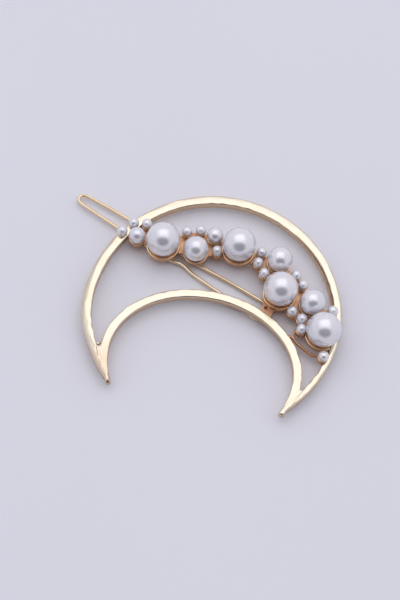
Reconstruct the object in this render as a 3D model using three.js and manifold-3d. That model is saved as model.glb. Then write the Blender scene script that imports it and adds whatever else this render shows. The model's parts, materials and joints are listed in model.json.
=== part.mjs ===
// A crescent-moon hair clip: a cast frame of two bands that meet in two horns, a cast tray of
// round cups that carries 25 half-drilled pearls across the frame's window, and a U-shaped
// spring wire that swings on two lugs behind it. Millimetres; the front faces +Z, the crown
// points to +Y and the horns to -Y.
import * as THREE from 'three';
import { mergeVertices } from 'three/addons/utils/BufferGeometryUtils.js';
import Module from 'manifold-3d';

const wasm = await Module();
wasm.setup();

// ---------------------------------------------------------------- driving dimensions
// Crescent: every edge is egg-shaped, an upper and a lower half ellipse of the same width. The
// outer band was filed in towards the horns: round each place by a depth that fades with spread.
// filed is the share of that depth which an edge takes.
const OUTER_EDGE = { y: 0, halfWidth: 30, rise: 32, drop: 28.2, filed: 1 };
const WINDOW_EDGE = { ...OUTER_EDGE, filed: 0.15 };
const CONCAVE_EDGE = { y: -12.6, halfWidth: 20.85, rise: 16.35, drop: 18.5, filed: 0 };
const FILED_PLACES = [
  { compass: -25, depth: 1.15, spread: 34 },
  { compass: -148, depth: 0.4, spread: 12 },
];
const OUTER_BAND = 2.3;
const INNER_BAND = 2;
const HORN_END_Y = { left: -21.15, right: -20 };
const EDGE_POINTS = 44;

// Levels above the surface that the clip lies on.
const BACK_Z = 1.5;
const FRONT_Z = 3.45;
const LEDGE_Z = 2.3;
const WEB_Z = 2.75;
const RIM_Z = 3.3;
const CUP_FLOOR = 0.6;

const SLIVER = 0.004;          // edges shorter than this are closed up after a cut
const SEAM = 0.1;              // solder seam between castings
const CUP_RATIO = 0.98;        // cup radius over pearl radius
const CUP_WALL = 0.3;
const WEB_REACH = 1.55;        // cups nearer than this are joined by a web
const RIB_WIDTH = 0.6;
const GLUE = 0.05;             // gap round each peg and under each pearl

// Wire clip: u runs from the hinge along the legs, v across them.
const WIRE_RADIUS = 0.4;
const PIVOT_Z = 0.75;
const LEG_RISE = 0.3 / 40;     // legs climb until they bear on the outer band's back
const HINGE = new THREE.Vector2(11.5, 4.5);
const LEG_DIRECTION = new THREE.Vector2(-0.927, 0.374).normalize();
const LUG = { length: 1.7, thickness: 0.9, hole: 0.45 };
const LUG_V = { hinge_lug_upper: 0.9, hinge_lug_lower: -1.7 };

// Pearls: centre in the frame's plane and diameter. Standard bead sizes 8, 6, 4 and 2.5 mm.
const PEARLS = [
  [-25.2, 15.9, 2.5], [-23.1, 18.7, 2.5], [-21.5, 15.4, 4], [-20.0, 19.2, 2.5],
  [-15.1, 14.9, 8], [-10.3, 19.4, 2.5], [-7.2, 20.5, 2.5], [-7.2, 14.8, 6],
  [-3.6, 19.8, 4], [-2.3, 16.0, 2.5], [2.5, 17.8, 8], [8.0, 18.1, 2.5],
  [7.7, 15.2, 2.5], [9.6, 12.8, 2.5], [12.5, 16.7, 6], [14.1, 8.6, 8],
  [17.0, 14.0, 2.5], [19.0, 11.8, 2.5], [21.8, 7.5, 6], [17.7, 4.6, 2.5],
  [20.2, 3.2, 2.5], [20.55, 0.6, 2.5], [25.4, 0.7, 8], [26.8, 6.8, 2.5],
  [26.5, -4.9, 2.5],
].map(([x, y, diameter]) => seatPearl(x, y, diameter / 2));

// The wire's bend points in (u, v), from one pivot end round the closed end to the other.
const WIRE_BENDS = [
  [0, 0.3], [0, 1.3], [0.15, 1.85], [0.7, 2.05], [4, 2.0], [10.7, 1.8], [19.3, 1.3],
  [30, 1.55], [40, 1.75], [48, 1.45], [51.6, 1.22], [52.6, 1.0], [53.3, 0.45], [53.4, -0.2],
  [53.1, -0.85], [52.3, -1.25], [48, -1.45], [40, -1.65], [30, -1.6], [25.2, -1.45],
  [22.4, -0.9], [19.6, -1.4], [16.5, -1.7], [10, -1.95], [3.5, -2.4], [0.75, -2.6],
  [0.15, -2.35], [0, -1.8], [0, -1.1],
];
const STEPS_PER_BEND = 3;
const WIRE_ARC_SEGMENTS = 4;   // a full circle's arc gets eight sides

// ---------------------------------------------------------------- finishes
const GOLD = { color: 0xe9c98f, roughness: 0.22, metalness: 1 };
const SPRING_GOLD = { color: 0xdcb877, roughness: 0.3, metalness: 1 };
const PEARL = { color: 0xf1edf2, roughness: 0.25, metalness: 0 };

// ---------------------------------------------------------------- helpers
// Pearl with its cup: a small pearl sits on the cup's rim, a large one just above its floor.
function seatPearl(x, y, radius) {
  const cup = radius * CUP_RATIO;
  const bore = cup - CUP_WALL;
  const onRim = RIM_Z + Math.sqrt(radius * radius - bore * bore) + GLUE;
  const onFloor = BACK_Z + CUP_FLOOR + GLUE + radius;
  const z = Math.max(onRim, onFloor);
  return { x, y, z, radius, cup, bore, floor: z - radius - GLUE, peg: 0.2 + radius * 0.06 };
}

function toSolid(geometry) {
  const bare = geometry.clone();
  bare.deleteAttribute('normal');
  bare.deleteAttribute('uv');
  const merged = mergeVertices(bare, 1e-4);
  return new wasm.Manifold(new wasm.Mesh({
    numProp: 3,
    vertProperties: merged.attributes.position.array,
    triVerts: new Uint32Array(merged.index.array),
  }));
}

function toGeometry(body) {
  const { vertProperties, triVerts } = body.simplify(SLIVER).getMesh();
  const geometry = new THREE.BufferGeometry();
  geometry.setAttribute('position', new THREE.BufferAttribute(vertProperties, 3));
  geometry.setIndex(new THREE.BufferAttribute(triVerts, 1));
  geometry.computeVertexNormals();
  return geometry;
}

function unite(bodies) {
  return bodies.reduce((whole, body) => whole.add(body));
}

// A flat outline raised from z0 to z1.
function slab(points, z0, z1) {
  const geometry = new THREE.ExtrudeGeometry(new THREE.Shape(points), {
    depth: z1 - z0,
    bevelEnabled: false,
  });
  return toSolid(geometry.translate(0, 0, z0));
}

function disc(x, y, radius, z0, z1, sides) {
  const geometry = new THREE.CylinderGeometry(radius, radius, z1 - z0, sides);
  geometry.rotateX(Math.PI / 2);
  return toSolid(geometry.translate(x, y, (z0 + z1) / 2));
}

// Depth that was filed off an edge at an angle.
function filedDepth(edge, angle) {
  return FILED_PLACES.reduce((sum, { compass, depth, spread }) => {
    const turn = THREE.MathUtils.radToDeg(angle) - compass;
    const away = THREE.MathUtils.euclideanModulo(turn + 180, 360) - 180;
    return sum + edge.filed * depth * Math.exp(-((away / spread) ** 2));
  }, 0);
}

// Point of an egg-shaped edge at an angle, the edge moved outwards by grow.
function edgePoint(edge, grow, angle) {
  const height = Math.sin(angle) > 0 ? edge.rise : edge.drop;
  const move = grow - filedDepth(edge, angle);
  return new THREE.Vector2(
    (edge.halfWidth + move) * Math.cos(angle),
    edge.y + (height + move) * Math.sin(angle),
  );
}

function edgeArc(edge, grow, from, to, count) {
  return Array.from({ length: count + 1 }, (_, i) =>
    edgePoint(edge, grow, from + ((to - from) * i) / count));
}

function egg(edge, grow, z0, z1) {
  return slab(edgeArc(edge, grow, 0, 2 * Math.PI, 2 * EDGE_POINTS).slice(1), z0, z1);
}

// Strip of constant width along a list of points.
function strip(points, width, z0, z1) {
  const curve = new THREE.CatmullRomCurve3(points.map(([x, y]) => new THREE.Vector3(x, y, 0)));
  const steps = 4 * (points.length - 1);
  const sides = [1, -1].map((side) => Array.from({ length: steps + 1 }, (_, i) => {
    const p = curve.getPointAt(i / steps);
    const t = curve.getTangentAt(i / steps);
    const offset = (side * width) / 2;
    return new THREE.Vector2(p.x + t.y * offset, p.y - t.x * offset);
  }));
  return slab([...sides[0], ...sides[1].reverse()], z0, z1);
}

function sidesFor(radius) {
  return radius > 2.5 ? 20 : radius > 1.5 ? 14 : 10;
}

// ---------------------------------------------------------------- crescent frame
// The two bands as one flat body with every edge moved outwards by grow.
function bands(grow, z0, z1) {
  const [outerLeft, outerRight] = hornEnds(OUTER_EDGE);
  const [innerLeft, innerRight] = hornEnds(CONCAVE_EDGE);
  const outer = edgeArc(OUTER_EDGE, grow, -outerRight, Math.PI + outerLeft, EDGE_POINTS);
  const inner = edgeArc(CONCAVE_EDGE, -grow, Math.PI + innerLeft, -innerRight, EDGE_POINTS);
  const outline = [
    ...outer,
    ...hornRound(outer.at(-1), inner[0]),
    ...inner,
    ...hornRound(inner.at(-1), outer[0]),
  ];
  const window = egg(WINDOW_EDGE, -OUTER_BAND - grow, z0 - 1, z1 + 1)
    .subtract(egg(CONCAVE_EDGE, INNER_BAND + grow, z0 - 2, z1 + 2));
  return slab(outline, z0, z1).subtract(window);
}

// How far below the level of an edge's middle each horn ends, as angles.
function hornEnds(edge) {
  return [HORN_END_Y.left, HORN_END_Y.right].map((y) => Math.asin((edge.y - y) / edge.drop));
}

// Half circle round a horn's end, from one edge to the other.
function hornRound(from, to) {
  const centre = from.clone().add(to).multiplyScalar(0.5);
  const arm = from.clone().sub(centre);
  return [1, 2, 3, 4].map((i) => arm.clone()
    .rotateAround(new THREE.Vector2(), (Math.PI * i) / 5)
    .add(centre));
}

// ---------------------------------------------------------------- pearl tray
function webBetween(a, b, grow, z1) {
  const along = new THREE.Vector2(b.x - a.x, b.y - a.y);
  const length = along.length();
  const width = Math.min(1.7 * Math.min(a.cup, b.cup), 3) + 2 * grow;
  const geometry = new THREE.BoxGeometry(length, width, z1 - BACK_Z);
  geometry.rotateZ(along.angle());
  return toSolid(geometry.translate((a.x + b.x) / 2, (a.y + b.y) / 2, (BACK_Z + z1) / 2));
}

function joined(a, b) {
  return Math.hypot(a.x - b.x, a.y - b.y) - a.cup - b.cup < WEB_REACH;
}

// Cups without their hollows and the webs between neighbours, grown sideways by grow. Where
// three cups are all neighbours, the pocket between them is filled.
function trayBlank(grow, rim, web) {
  const cups = PEARLS.map((p) => disc(p.x, p.y, p.cup + grow, BACK_Z, rim, sidesFor(p.radius)));
  const webs = [];
  PEARLS.forEach((a, i) => PEARLS.slice(i + 1).filter((b) => joined(a, b)).forEach((b) => {
    webs.push(webBetween(a, b, grow, web));
    PEARLS.slice(PEARLS.indexOf(b) + 1)
      .filter((c) => joined(a, c) && joined(b, c))
      .forEach((c) => webs.push(pocket([a, b, c], web)));
  }));
  return unite([...cups, ...webs]);
}

function pocket(three, z1) {
  return slab(three.map((p) => new THREE.Vector2(p.x, p.y)), BACK_Z, z1);
}

function bridge() {
  const outline = new THREE.Shape();
  outline.moveTo(9.9, 2.6);
  outline.quadraticCurveTo(11.2, 4.6, 10.7, 6.6);
  outline.lineTo(14.6, 5.4);
  outline.quadraticCurveTo(12.9, 4.3, 13.4, 1.6);
  const hole = disc(11.7, 4.75, 0.35, BACK_Z - 1, FRONT_Z, 10);
  return slab(outline.getPoints(5), BACK_Z, WEB_Z).subtract(hole);
}

function ribs() {
  const routes = [
    [[16.0, -0.9], [17.6, -0.8], [19.1, -1.1]],
    [[19.1, -1.1], [19.5, 1.2], [20.0, 2.6]],
    [[19.0, -0.9], [21.2, -2.8], [23.6, -4.1], [25.8, -4.3]],
  ];
  return unite(routes.map((route) => strip(route, RIB_WIDTH, BACK_Z, WEB_Z - 0.3)));
}

function pearlTray() {
  const lap = bands(SEAM, BACK_Z - 1, LEDGE_Z + SEAM);
  const wholeBands = bands(SEAM, BACK_Z - 1, FRONT_Z + 1);
  const supports = unite([bridge(), ribs()]).subtract(wholeBands);
  const hollows = PEARLS.map((p) =>
    disc(p.x, p.y, p.bore, p.floor, RIM_Z + 1, sidesFor(p.radius)));
  const pegs = PEARLS.map((p) => disc(p.x, p.y, p.peg, p.floor - 0.1, p.z, 8));
  return trayBlank(0, RIM_Z, WEB_Z)
    .subtract(lap)
    .add(supports)
    .subtract(unite(hollows))
    .add(unite(pegs));
}

function crescentFrame() {
  const notch = trayBlank(SEAM, FRONT_Z + 1, FRONT_Z + 1)
    .subtract(slab([[-40, -40], [40, -40], [40, 40], [-40, 40]]
      .map(([x, y]) => new THREE.Vector2(x, y)), BACK_Z - 1, LEDGE_Z));
  return bands(0, BACK_Z, FRONT_Z).subtract(notch);
}

// ---------------------------------------------------------------- pearls
// A bead with a blind hole for its peg, open at the bottom.
function bead(p) {
  const rings = p.radius > 2.5 ? 11 : p.radius > 1.5 ? 8 : 6;
  const ball = new THREE.SphereGeometry(p.radius, rings + 4, rings);
  ball.rotateX(Math.PI / 2);
  const hole = disc(0, 0, p.peg + GLUE, -p.radius - 1, GLUE, 8);
  return toGeometry(toSolid(ball).subtract(hole));
}

// ---------------------------------------------------------------- wire clip and lugs
const ACROSS = new THREE.Vector2(-LEG_DIRECTION.y, LEG_DIRECTION.x).negate();

function clipPoint(u, v) {
  return HINGE.clone().addScaledVector(LEG_DIRECTION, u).addScaledVector(ACROSS, v);
}

// The samples along the wire follow its bend points, so the bends get the short steps.
class BentWire extends THREE.CatmullRomCurve3 {
  getUtoTmapping(u) {
    return u;
  }
}

function wireClip() {
  const bends = WIRE_BENDS.map(([u, v]) => {
    const p = clipPoint(u, v);
    return new THREE.Vector3(p.x, p.y, PIVOT_Z + u * LEG_RISE);
  });
  const section = new THREE.Shape().absarc(0, 0, WIRE_RADIUS, 0, 2 * Math.PI);
  return new THREE.ExtrudeGeometry(section, {
    extrudePath: new BentWire(bends),
    steps: STEPS_PER_BEND * (bends.length - 1),
    curveSegments: WIRE_ARC_SEGMENTS,
  });
}

// A lug stands on the back, its hole along the hinge axis.
function hingeLug() {
  const half = LUG.length / 2;
  const outline = new THREE.Shape();
  outline.moveTo(half, 0.45);
  outline.lineTo(half, BACK_Z - SEAM);
  outline.lineTo(-half, BACK_Z - SEAM);
  outline.lineTo(-half, 0.45);
  outline.lineTo(-half + 0.45, 0);
  outline.lineTo(half - 0.45, 0);
  outline.holes.push(new THREE.Path().absarc(0, PIVOT_Z, LUG.hole, 0, 2 * Math.PI));
  const geometry = new THREE.ExtrudeGeometry(outline, {
    depth: LUG.thickness,
    bevelEnabled: false,
    curveSegments: 8,
  });
  geometry.translate(0, 0, -LUG.thickness / 2);
  return geometry.rotateX(Math.PI / 2);
}

// ---------------------------------------------------------------- assembly
const clip = new THREE.Group();

function place(name, geometry, finish, x = 0, y = 0, z = 0) {
  const mesh = new THREE.Mesh(geometry, new THREE.MeshStandardMaterial(finish));
  mesh.name = name;
  mesh.position.set(x, y, z);
  clip.add(mesh);
  return mesh;
}

place('crescent_frame', toGeometry(crescentFrame()), GOLD);
place('pearl_tray', toGeometry(pearlTray()), GOLD);
PEARLS.forEach((p, i) => {
  place(`pearl_${String(i + 1).padStart(2, '0')}`, bead(p), PEARL, p.x, p.y, p.z);
});
for (const [name, v] of Object.entries(LUG_V)) {
  const at = clipPoint(0, v);
  place(name, hingeLug(), GOLD, at.x, at.y).rotation.z = LEG_DIRECTION.angle();
}
place('wire_clip', wireClip(), SPRING_GOLD);

// The origin is the bottom centre of the whole clip.
const box = new THREE.Box3().setFromObject(clip, true);
const middle = box.getCenter(new THREE.Vector3());
clip.position.set(-middle.x, -middle.y, -box.min.z);
const barrette = new THREE.Group();
barrette.add(clip);

export default barrette;
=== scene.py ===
# %% [markdown]
# # A crescent hair clip with pearls
# The clip is a cast, polished and pale-gold-plated crescent. A small cast tray of cups crosses
# its window and carries 25 imitation pearls, and a bent spring wire swings behind it.
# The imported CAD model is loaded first, as a fixed frame that says where every part is. All the
# shapes below are worked out in millimetres and turned into metres when a mesh is made.

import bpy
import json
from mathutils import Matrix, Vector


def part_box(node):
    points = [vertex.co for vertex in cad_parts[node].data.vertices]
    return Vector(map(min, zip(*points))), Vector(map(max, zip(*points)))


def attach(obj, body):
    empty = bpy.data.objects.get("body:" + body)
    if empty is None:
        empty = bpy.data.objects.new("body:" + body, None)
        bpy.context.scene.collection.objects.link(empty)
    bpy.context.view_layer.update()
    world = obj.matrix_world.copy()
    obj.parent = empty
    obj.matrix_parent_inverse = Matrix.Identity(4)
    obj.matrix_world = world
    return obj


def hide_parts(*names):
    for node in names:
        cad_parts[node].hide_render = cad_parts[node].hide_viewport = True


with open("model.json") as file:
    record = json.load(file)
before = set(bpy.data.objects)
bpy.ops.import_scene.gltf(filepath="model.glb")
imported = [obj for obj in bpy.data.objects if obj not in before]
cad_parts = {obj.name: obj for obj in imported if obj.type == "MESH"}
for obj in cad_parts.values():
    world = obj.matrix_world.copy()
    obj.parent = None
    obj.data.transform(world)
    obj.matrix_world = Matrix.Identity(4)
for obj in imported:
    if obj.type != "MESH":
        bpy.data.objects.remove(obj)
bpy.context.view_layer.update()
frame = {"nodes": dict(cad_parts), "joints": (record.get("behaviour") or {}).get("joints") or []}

import json
import math

import bmesh
import bpy
import numpy as np
from mathutils import Matrix, Vector

MM = 0.001

# %% [markdown]
# ## Where things are
# Places come from the frame: the crescent's box gives its levels, each pearl's box gives the size
# of its bead, and the joint gives the line on which the wire turns. A size is rounded to the bead
# sizes that are sold: 2.5, 4, 6 and 8 mm. The crescent's own lines are measured from its heart,
# which the big pearl at the upper left places. Each edge of the crescent is an egg shape, and the
# outer band was filed in towards the horns: at a compass angle in degrees, by a depth in mm that
# fades over a spread in degrees.

# %% Places
BEAD_SIZES = np.array([2.5, 4.0, 6.0, 8.0])
OUTER_EDGE = {"y": 0.0, "half": 30.0, "rise": 32.0, "drop": 28.2, "filed": 1.0}
WINDOW_EDGE = {**OUTER_EDGE, "filed": 0.15}
HOLLOW_EDGE = {"y": -12.6, "half": 20.85, "rise": 16.35, "drop": 18.5, "filed": 0.0}
FILED_PLACES = [(-25, 1.15, 34), (-148, 0.4, 12)]
OUTER_BAND = 2.3
INNER_BAND = 2.0
LEFT_HORN_END, RIGHT_HORN_END = -21.15, -20.0
BIG_BEAD, BIG_BEAD_FROM_HEART = 4, (-15.1, 14.9)

band_low, band_high = (np.array(corner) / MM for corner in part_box("crescent_frame"))
BACK, FRONT = band_low[2], band_high[2]
LEDGE = BACK + 0.8
WEB = BACK + 1.25
RIM = BACK + 1.8


def bead_place(node):
    """Centre (x, y, z) and radius of the pearl that a CAD node stands for, in mm."""
    low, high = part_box(node)
    height = (high.z - low.z) / MM
    radius = BEAD_SIZES[np.abs(BEAD_SIZES - height).argmin()] / 2
    corners = np.array([v.co for v in frame["nodes"][node].data.vertices]) / MM
    crown = corners[corners[:, 2].argmax()]
    return crown[0], crown[1], crown[2] - radius, radius


bead_nodes = sorted(n for n in frame["nodes"] if n.startswith("pearl_") and n[-1].isdigit())
beads = [bead_place(n) for n in bead_nodes]
HEART = np.array(beads[BIG_BEAD][:2]) - BIG_BEAD_FROM_HEART
hinge = frame["joints"][0]
PIVOT = np.array(hinge["pos_m"]) / MM
ACROSS = np.array(hinge["axis"])
ALONG = np.array([-ACROSS[1], ACROSS[0], 0.0])
print(len(beads), "beads; heart at", HEART.round(3), "; levels", round(BACK, 2), round(FRONT, 2))

# %% [markdown]
# ## From arrays to meshes
# Every shape is a grid of points: rows along it and columns round its section. Its seam and poles
# are welded, its faces turned outwards and its sharp edges marked. Shapes that are cast in one
# piece are made as closed solids and joined with the Boolean modifier's Manifold solver.


# %% Mesh helpers
SHARP_ANGLE = 40
WELD = 1e-6


def grid_quads(rows, columns, loop_rows, loop_columns):
    """Corner numbers of a grid's quads: point (r, c) has the number r * columns + c, and a looped
    side joins its last line to its first."""
    r = np.arange(rows if loop_rows else rows - 1)[:, None]
    c = np.arange(columns if loop_columns else columns - 1)[None, :]
    here, there = r * columns, (r + 1) % rows * columns
    right = (c + 1) % columns
    corners = [here + c, here + right, there + right, there + c]
    return np.stack([np.broadcast_to(k, (r.size, c.size)).ravel() for k in corners], 1)


def placed(name, data):
    """Object in the scene, at the origin, from a mesh, a lamp or a lens."""
    thing = bpy.data.objects.new(name, data)
    bpy.context.scene.collection.objects.link(thing)
    return thing


def grid_mesh(name, grid, loop_rows=False, loop_columns=False):
    """Mesh from a grid of points in mm, rows by columns by 3."""
    mesh = bpy.data.meshes.new(name)
    quads = grid_quads(*grid.shape[:2], loop_rows, loop_columns)
    mesh.from_pydata((grid.reshape(-1, 3) * MM).tolist(), [], quads.tolist())
    return mesh


def new_piece(name, grid, loop_rows, loop_columns, weld=WELD):
    """Piece from a grid of points in mm, welded, closed and facing outwards."""
    mesh = grid_mesh(name, grid, loop_rows, loop_columns)
    tidy_mesh(mesh, weld)
    return placed(name, mesh)


def tidy_mesh(mesh, weld):
    """Welds points nearer than weld (m), if any are to be welded, turns faces outwards and marks
    the edges sharper than SHARP_ANGLE degrees."""
    work = bmesh.new()
    work.from_mesh(mesh)
    if weld:
        bmesh.ops.remove_doubles(work, verts=work.verts, dist=weld)
        bmesh.ops.dissolve_degenerate(work, edges=work.edges, dist=weld)
    bmesh.ops.recalc_face_normals(work, faces=work.faces)
    open_edges = sum(1 for e in work.edges if not e.is_manifold)
    work.to_mesh(mesh)
    work.free()
    mesh.shade_smooth()
    mesh.set_sharp_from_angle(angle=math.radians(SHARP_ANGLE))
    if open_edges:
        print("  open edges in", mesh.name, open_edges)


def combine(base, tools, operation):
    """base joined with, or cut by, closed tool pieces. The tools are used up."""
    box = bpy.data.collections.new("tools")
    for tool in tools:
        box.objects.link(tool)
    step = base.modifiers.new("combine", "BOOLEAN")
    step.operation = operation
    step.solver = "MANIFOLD"
    step.operand_type = "COLLECTION"
    step.collection = box
    ready = base.evaluated_get(bpy.context.evaluated_depsgraph_get())
    result = bpy.data.meshes.new_from_object(ready)
    base.modifiers.clear()
    base.data = result
    for tool in tools:
        bpy.data.objects.remove(tool)
    bpy.data.collections.remove(box)
    tidy_mesh(base.data, 0)
    print(f"  {base.name}: {len(base.data.polygons)} faces after {operation.lower()}")


# %% [markdown]
# ## Lines in the plane
# The crescent's two edges are egg shapes, each an upper and a lower half ellipse of one width.
# A loop of points needs its lengths, so that it can be respaced evenly, and its normals, so that
# a facet can be set in from the edge. Hand polishing leaves everything slightly uneven, which a
# seeded sum of waves along the loop imitates.


# %% Line helpers
def bell(distance, width):
    """1 at no distance, falling as a bell curve of that width."""
    return np.exp(-((distance / width) ** 2))


def egg(edge, grow, angle):
    """Points of an egg edge moved outwards by grow and inwards where it was filed:
    (half + move) cos and (rise or drop + move) sin."""
    turn = np.degrees(angle)
    filed = sum(depth * bell((turn - compass + 180) % 360 - 180, spread)
                for compass, depth, spread in FILED_PLACES)
    move = grow - edge["filed"] * filed
    height = np.where(np.sin(angle) > 0, edge["rise"], edge["drop"]) + move
    line = [(edge["half"] + move) * np.cos(angle), edge["y"] + height * np.sin(angle)]
    return np.stack(line, -1) + HEART


def half_circle(start, end, count):
    """count points from start to end on the half circle that bulges to the right of that way."""
    centre, arm = (start + end) / 2, (start - end) / 2
    turn = np.linspace(0, np.pi, count)[:, None]
    side = np.array([-arm[1], arm[0]])
    return centre + arm * np.cos(turn) + side * np.sin(turn)


def lengths(line):
    """Distance along a line at each of its points."""
    return np.concatenate([[0], np.linalg.norm(np.diff(line, axis=0), axis=1).cumsum()])


def respaced(line, count):
    """The same line with count evenly spaced points."""
    reach = lengths(line)
    at = np.linspace(0, reach[-1], count)
    return np.stack([np.interp(at, reach, line[:, k]) for k in range(line.shape[1])], -1)


def left_normals(loop):
    """Unit normals to the left of a closed loop, from the difference of its neighbours."""
    way = np.roll(loop, -1, 0) - np.roll(loop, 1, 0)
    way /= np.linalg.norm(way, axis=1)[:, None]
    return np.stack([-way[:, 1], way[:, 0]], -1)


def between(first, last, count):
    """count evenly spaced points between each row's first point and its last one."""
    share = np.linspace(0, 1, count + 2)[1:-1, None]
    return first * (1 - share) + last * share


def compass_of(points):
    """Direction of points from the heart, 0 to 360 degrees from the right."""
    return np.degrees(np.arctan2(points[:, 1] - HEART[1], points[:, 0] - HEART[0])) % 360


def unevenness(turn, slowest, fastest, waves, seed):
    """Seeded sum of cosine waves over turns 0 to 1, about -1 to 1, the same at both ends."""
    draw = np.random.default_rng(seed)
    beats = draw.integers(slowest, fastest, waves)
    start = draw.uniform(0, 2 * np.pi, waves)
    return np.cos(2 * np.pi * turn[..., None] * beats + start).sum(-1) / math.sqrt(waves)


# %% [markdown]
# ## The crescent
# The frame is one ring: its outside runs over the crown, round one horn, along the hollow side
# and round the other horn, and its window follows the same way inside it. So the surface is a
# section carried round that ring. The section climbs the outer wall, turns over a hand-filed
# facet, crosses the slightly domed face, comes down the window's wall and goes back underneath.
# In the horns the window has shrunk to a point, and the section fans round it.


# %% The two loops of the crescent
CROWN_STEPS, FAN_STEPS, HOLLOW_STEPS = 460, 120, 300
HORN_STEPS, TIP_STEPS = 60, 16
LEFT_GAP, RIGHT_GAP = 1.0, 0.7
APEX_ANGLES = np.linspace(0.3, 0.9, 4001)


def horn_end(edge, level):
    """Angle below the edge's middle at which it reaches the level where a horn ends."""
    return math.asin((edge["y"] - level) / edge["drop"])


def window_apex(side, gap):
    """Angles below the middle, on the window's two edges, at which it has narrowed to gap: the
    outer edge's x less the inner one's, half * sqrt(1 - sin^2). side is 1 right and -1 left."""
    angle = -APEX_ANGLES if side > 0 else np.pi + APEX_ANGLES
    outer = egg(WINDOW_EDGE, -OUTER_BAND, angle) - HEART
    drop = HOLLOW_EDGE["drop"] + INNER_BAND
    level = np.clip((HOLLOW_EDGE["y"] - outer[:, 1]) / drop, -1, 1)
    inner_x = (HOLLOW_EDGE["half"] + INNER_BAND) * np.sqrt(1 - level**2)
    first = int(np.argmax(side * outer[:, 0] - inner_x < gap))
    return APEX_ANGLES[first], math.asin(level[first])


def crescent_loops():
    """Outline and window as loops with matching points, both running counter-clockwise."""
    left_out, left_in = window_apex(-1, LEFT_GAP)
    right_out, right_in = window_apex(1, RIGHT_GAP)
    crown = np.linspace(-right_out, np.pi + left_out, CROWN_STEPS)
    hollow = np.linspace(np.pi + left_in, -right_in, HOLLOW_STEPS)
    outer, inner = egg(OUTER_EDGE, 0, crown), egg(HOLLOW_EDGE, 0, hollow)
    window_outer = egg(WINDOW_EDGE, -OUTER_BAND, crown)
    window_inner = egg(HOLLOW_EDGE, INNER_BAND, hollow)

    def run(edge, start, end):
        return egg(edge, 0, np.linspace(start, end, HORN_STEPS))

    down_outer = run(OUTER_EDGE, np.pi + left_out, np.pi + horn_end(OUTER_EDGE, LEFT_HORN_END))
    up_inner = run(HOLLOW_EDGE, np.pi + horn_end(HOLLOW_EDGE, LEFT_HORN_END), np.pi + left_in)
    down_inner = run(HOLLOW_EDGE, -right_in, -horn_end(HOLLOW_EDGE, RIGHT_HORN_END))
    up_outer = run(OUTER_EDGE, -horn_end(OUTER_EDGE, RIGHT_HORN_END), -right_out)
    left = [down_outer, half_circle(down_outer[-1], up_inner[0], TIP_STEPS)[1:-1], up_inner]
    right = [down_inner, half_circle(down_inner[-1], up_outer[0], TIP_STEPS)[1:-1], up_outer]
    outline = [outer, respaced(np.concatenate(left), FAN_STEPS)[1:-1],
               inner, respaced(np.concatenate(right), FAN_STEPS)[1:-1]]
    window = [window_outer, half_circle(window_outer[-1], window_inner[0], FAN_STEPS)[1:-1],
              window_inner, half_circle(window_inner[-1], window_outer[0], FAN_STEPS)[1:-1]]
    return np.concatenate(outline), np.concatenate(window)


outline, window = crescent_loops()
turn = np.arange(len(outline)) / len(outline)
print("ring of", len(outline), "sections; window apex", (window[CROWN_STEPS] - HEART).round(2))

# %% [markdown]
# The facet is wide on the left, where the band was filed, and narrow elsewhere. Its width is given
# at a few compass angles for the outer edge. On the right the window's edge was filed down steeply, and
# beside the left horn a shallow groove shows where the outer band runs into it.


# %% The crescent's section
FOOT = 0.12
CHAMFER, ROUND = 0.6, 0.4
FACE_POINTS, BACK_POINTS = 9, 3


def cast_ring(outline, window, back, front, facet, drop, lip, lip_drop, dome):
    """Closed ring of sections between two loops: foot, wall and facet of the outline, domed face,
    then facet, wall and foot of the window, and the flat back. The facets' widths and depths are
    given per section, and dome gives heights from the share of the way across. A facet is a
    chamfer blended with a quarter round, and the foot a quarter round of radius FOOT."""
    into_outline, into_window = left_normals(outline), -left_normals(window)
    quarter = np.linspace(0, np.pi / 2, 7)

    def wall(line, normal, width, depth):
        inset = [FOOT * (1 - np.sin(quarter[::3])) + 0 * width, 0 * width]
        blend = CHAMFER * quarter / (np.pi / 2) + ROUND * (1 - np.cos(quarter))
        height = CHAMFER * quarter / (np.pi / 2) + ROUND * np.sin(quarter)
        inset = np.concatenate([*inset, width * blend], 1)
        foot_z = back + FOOT * (1 - np.cos(quarter[::3])) + 0 * width
        wall_z = (back + front - depth) / 2 + 0 * width
        level = np.concatenate([foot_z, wall_z, front - depth * (1 - height)], 1)
        return line[:, None] + normal[:, None] * inset[..., None], level

    outer_xy, outer_z = wall(outline, into_outline, facet[:, None], drop[:, None])
    inner_xy, inner_z = wall(window, into_window, lip[:, None], lip_drop[:, None])
    face_xy = between(outer_xy[:, -1:], inner_xy[:, -1:], FACE_POINTS)
    face_z = front + dome(np.linspace(0, 1, FACE_POINTS + 2)[1:-1]) + 0 * outer_z[:, :1]
    back_xy = between(inner_xy[:, :1], outer_xy[:, :1], BACK_POINTS)
    back_z = np.full(back_xy.shape[:2], back)
    xy = np.concatenate([outer_xy, face_xy, inner_xy[:, ::-1], back_xy], 1)
    z = np.concatenate([outer_z, face_z, inner_z[:, ::-1], back_z], 1)
    return np.concatenate([xy, z[..., None]], 2)


# %% The facets' widths
FACET_COMPASS = [0, 60, 90, 140, 165, 180, 205, 218, 226, 270, 315, 340, 360]
FACET_WIDTHS = [0.26, 0.2, 0.2, 0.34, 0.7, 0.95, 1.15, 1.2, 0.9, 0.3, 0.35, 0.3, 0.26]
HOLLOW_FACET = 0.2
DEEPEST_FACET = 0.45
LIP_COMPASS, LIP_SHARES = [0, 8, 44, 62, 340, 360], [0.6, 1, 1, 0, 0, 0.6]
LIP_WIDTH, BROAD_LIP_WIDTH, BROAD_LIP_DROP = 0.17, 0.42, 0.75

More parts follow.
